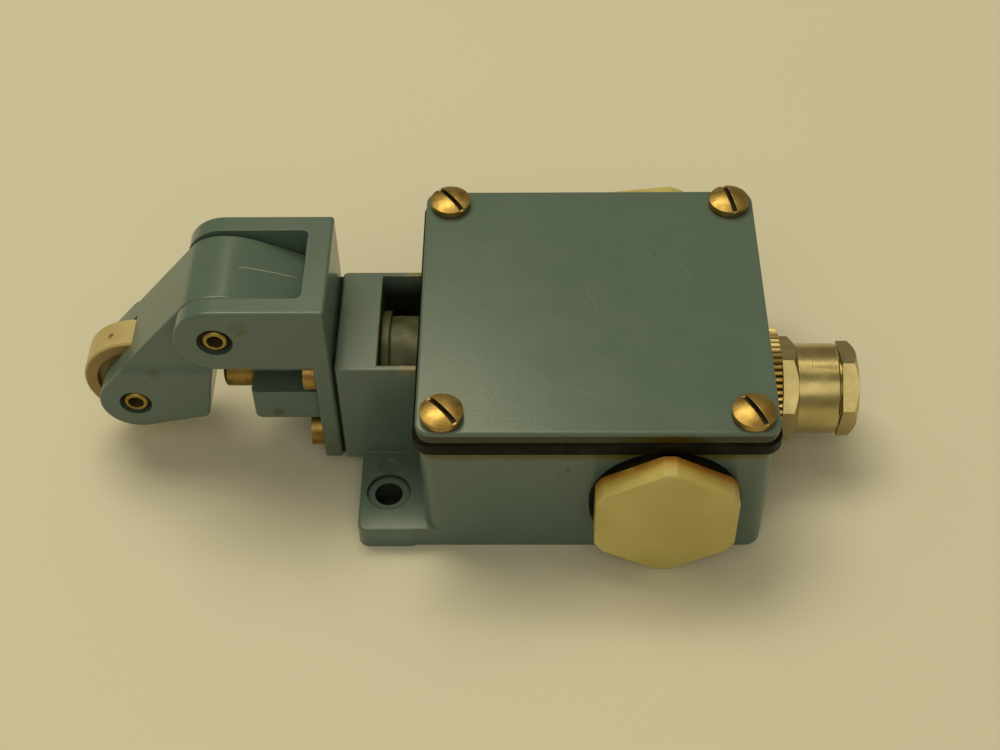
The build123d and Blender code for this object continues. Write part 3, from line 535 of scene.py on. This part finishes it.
def cream_plastic():
    """Aged cream moulding, orange towards the wall where oil has soaked in."""
    look = cream_moulding("cream_plastic_look")
    base = look.mix(look.ramp(look.noise(70.0, 4.0), 0.3, 0.75), (0.55, 0.45, 0.135), (0.65, 0.55, 0.185))
    away = look.math("ABSOLUTE", look.axis(1))
    wall = abs(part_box("front_plug_seal")[1].y)
    soaked = look.all_of(look.ramp(away, wall + 0.0058, wall + 0.0015),
                         look.ramp(look.noise(150.0, 3.0), 0.2, 0.5))
    yellowed = look.mix(soaked, base, (0.56, 0.30, 0.035))
    brown = look.all_of(look.ramp(away, wall + 0.0040, wall + 0.0016),
                        look.ramp(look.noise(110.0, 4.0, seed=6.0), 0.42, 0.62), 0.8)
    stained = look.mix(brown, yellowed, (0.34, 0.12, 0.010))
    speck = look.all_of(look.spots(200.0, 0.09, 1.0), 0.35)
    look.colour(look.mix(speck, stained, (0.28, 0.17, 0.06)))
    look.rough(look.ramp(look.noise(250.0, 3.0, seed=4.0), 0.3, 0.7, 0.34, 0.52))
    look.bump(look.math("ADD", look.noise(1200.0, 3.0), look.noise(120.0)), 0.00006, 0.5)
    return look.material


def roller_plastic():
    """Aged cream roller with browner sides, a brown wear spot and fine turning lines."""
    look = cream_moulding("roller_plastic_look")
    base = look.mix(look.ramp(look.noise(90.0, 4.0), 0.3, 0.75), (0.50, 0.39, 0.16), (0.64, 0.53, 0.25))
    low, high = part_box("roller")
    tread_r = (high.z - low.z) / 2
    within_tread = look.ramp(look.hinge_radius("roller_spin"), tread_r - 0.0001, tread_r - 0.0007)
    sides = look.mix(look.all_of(within_tread, 0.85), base, (0.27, 0.17, 0.045))
    spot = look.all_of(look.blobs(ROLLER_SPOT), look.ramp(look.noise(900.0), 0.3, 0.55))
    look.colour(look.mix(spot, sides, (0.16, 0.075, 0.03)))
    look.rough(look.ramp(look.noise(300.0, seed=4.0), 0.3, 0.7, 0.34, 0.52))
    look.bump(look.noise(60.0, 2.0, stretch=(1, 40, 1)), 0.00004, 0.4)
    return look.material


def plain_plastic(name, low, high, roughness):
    """Moulding in two mottled tones with a fine grain."""
    look = Look(name, roughness=roughness)
    look.colour(look.mix(look.ramp(look.noise(150.0, 4.0), 0.3, 0.75), low, high))
    look.rough(look.ramp(look.noise(300.0, seed=4.0), 0.3, 0.7, roughness - 0.08, roughness + 0.1))
    look.bump(look.noise(1100.0, 3.0), 0.00005, 0.5)
    return look.material


def metal(name, low, high, roughness):
    """Plain metal in two mottled tones with a fine grain."""
    look = Look(name, metallic=1.0, roughness=roughness)
    look.colour(look.mix(look.ramp(look.noise(350.0, 4.0), 0.3, 0.75), low, high))
    look.rough(look.ramp(look.noise(600.0, seed=4.0), 0.3, 0.7, roughness - 0.08, roughness + 0.12))
    look.bump(look.noise(1800.0, 3.0), 0.00004, 0.5)
    return look.material


LOOKS = {
    "enamel": enamel("enamel_look", plain_stains),
    "cover_enamel": cover_look(),
    "black_rubber": rubber(),
    "aged_brass": brass("aged_brass_look", (0.42, 0.28, 0.088), (0.22, 0.135, 0.034)),
    "nickel_plate": nickel(),
    "cream_plastic": cream_plastic(),
    "roller_plastic": roller_plastic(),
    "moulded_phenolic": plain_plastic("phenolic_look", (0.03, 0.018, 0.012), (0.06, 0.036, 0.022), 0.35),
    "amber_plastic": plain_plastic("amber_look", (0.24, 0.12, 0.035), (0.36, 0.20, 0.07), 0.22),
    "white_plastic": plain_plastic("white_plastic_look", (0.66, 0.64, 0.56), (0.78, 0.76, 0.68), 0.4),
    "spring_steel": metal("spring_steel_look", (0.32, 0.31, 0.29), (0.52, 0.51, 0.48), 0.34),
    "contact_metal": metal("contact_metal_look", (0.50, 0.30, 0.16), (0.72, 0.50, 0.30), 0.3),
}
PIN_LOOK = brass("pin_brass_look", (0.38, 0.28, 0.078), (0.19, 0.13, 0.030), pin_bore_shade)
PIECE_LOOKS = {
    "body_casting": enamel("body_enamel_look", body_stains, body_dark, [(GREASE, seam_oil)]),
    "head_casting": enamel("head_enamel_look", head_stains, head_dark),
    "lever_casting": enamel("lever_enamel_look", lever_stains, lever_dark, [(SCRATCH_PAINT, tail_scratch)]),
    "cover_screws": brass("screw_brass_look", (0.47, 0.32, 0.105), (0.34, 0.215, 0.058), screw_shade),
    "pivot_pin": PIN_LOOK,
    "roller_pin": PIN_LOOK,
    "plunger": brass("plunger_brass_look", (0.38, 0.25, 0.075), (0.14, 0.09, 0.022)),
    "guide_sleeve": sleeve_look(),
}


def paint_nodes():
    """Gives every CAD node its own look, or else that of its material slot."""
    slots = {s["node"]: s["material_slot"] for s in frame["record"]["subparts"]}
    for name, node in frame["nodes"].items():
        material = PIECE_LOOKS.get(name) or LOOKS[slots[name]]
        node.data.materials.clear()
        node.data.materials.append(material)


def make_return_spring():
    """The return spring as its own mesh copy, riding on the base in place of the hidden CAD node."""
    node = frame["nodes"]["return_spring"]
    spring = bpy.data.objects.new("return_spring_coil", node.data.copy())
    bpy.context.scene.collection.objects.link(spring)
    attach(spring, "base")
    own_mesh(spring)
    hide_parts("return_spring")


# Stage, light and camera ---------------------------------------------------------

FLOOR = (0.80, 0.765, 0.64)
FLOOR_SIZE, FLOOR_DROP = 6.0, 0.0001
LIGHT = (1.0, 0.90, 0.60)
FILL_LIGHT = (1.0, 0.94, 0.74)
WORLD_STRENGTH = 0.21

# Name, place, length and width, power and colour of each lamp
LAMPS = (
    ("key", (-0.55, 0.85, 2.0), (1.5, 0.9), 19.5, LIGHT),
    ("ceiling_strip", (0.05, 0.25, 2.0), (1.8, 0.1), 1.9, LIGHT),
    ("rear_strip", (0.05, 0.90, 1.85), (1.8, 0.2), 1.9, LIGHT),
    ("front_fill", (-0.1, -1.35, 1.6), (2.0, 1.2), 7.6, FILL_LIGHT),
)


def make_floor():
    """Pale table top with a painted shadow where it shows through the foot's screw holes."""
    bpy.ops.mesh.primitive_plane_add(size=FLOOR_SIZE, location=(0, 0, CAD_BOX[0][2] - FLOOR_DROP))
    floor = bpy.context.object
    floor.name = "floor"
    look = Look("floor_look", roughness=0.6)
    pale = look.mix(look.noise(8.0, 2.0), FLOOR, tuple(c * 0.97 for c in FLOOR))
    radius, hole_r = foot_hole_radius(look)
    # Painted shadow on the table under the foot's screw holes
    look.colour(look.mix(look.ramp(radius, hole_r + 0.001, hole_r), pale, SHADE_BLACK))
    floor.data.materials.append(look.material)


def area_light(name, place, size, power, colour):
    """Rectangular lamp of the given length and width, long side along X, facing the part."""
    data = bpy.data.lights.new(name, "AREA")
    data.shape = "RECTANGLE"
    data.size, data.size_y = size
    data.energy = power
    data.color = colour
    lamp = bpy.data.objects.new(name, data)
    lamp.location = place
    lamp.rotation_euler = (-Vector(place)).to_track_quat("-Z", "Y").to_euler()
    bpy.context.scene.collection.objects.link(lamp)


def make_lights():
    """A soft key from the upper left, two thin strips for edge glints and a weak front fill."""
    world = bpy.data.worlds.new("studio")
    world.use_nodes = True
    background = world.node_tree.nodes["Background"]
    background.inputs["Color"].default_value = rgba(LIGHT)
    background.inputs["Strength"].default_value = WORLD_STRENGTH
    bpy.context.scene.world = world
    for lamp in LAMPS:
        area_light(*lamp)


CAMERA_PLACE = (-0.01553, -0.26147, 0.31804)
ELEVATION, YAW, ROLL = 49.02, 1.47, -1.21
LENS_MM, SENSOR_MM = 58.14, 36.0


def make_camera():
    """Camera looking down at the cover from the near side."""
    elevation, yaw, roll = (math.radians(a) for a in (ELEVATION, YAW, ROLL))
    level = math.cos(elevation)
    back = Vector((math.sin(yaw) * level, -math.cos(yaw) * level, math.sin(elevation)))
    right = (-back).cross(Vector((0, 0, 1))).normalized()
    up = back.cross(right)
    tilted_right = right * math.cos(roll) + up * math.sin(roll)
    tilted_up = up * math.cos(roll) - right * math.sin(roll)
    data = bpy.data.cameras.new("camera")
    data.lens = LENS_MM
    data.sensor_width = SENSOR_MM
    data.clip_start = 0.01
    camera = bpy.data.objects.new("camera", data)
    turn = Matrix((tilted_right, tilted_up, back)).transposed().to_4x4()
    camera.matrix_world = Matrix.Translation(CAMERA_PLACE) @ turn
    bpy.context.scene.collection.objects.link(camera)
    bpy.context.scene.camera = camera


def set_colours():
    view = bpy.context.scene.view_settings
    view.view_transform = "Standard"
    view.look = "None"
    view.exposure = 0.0
    bpy.context.scene.cycles.use_denoising = True


paint_nodes()
make_return_spring()
make_floor()
make_lights()
make_camera()
set_colours()
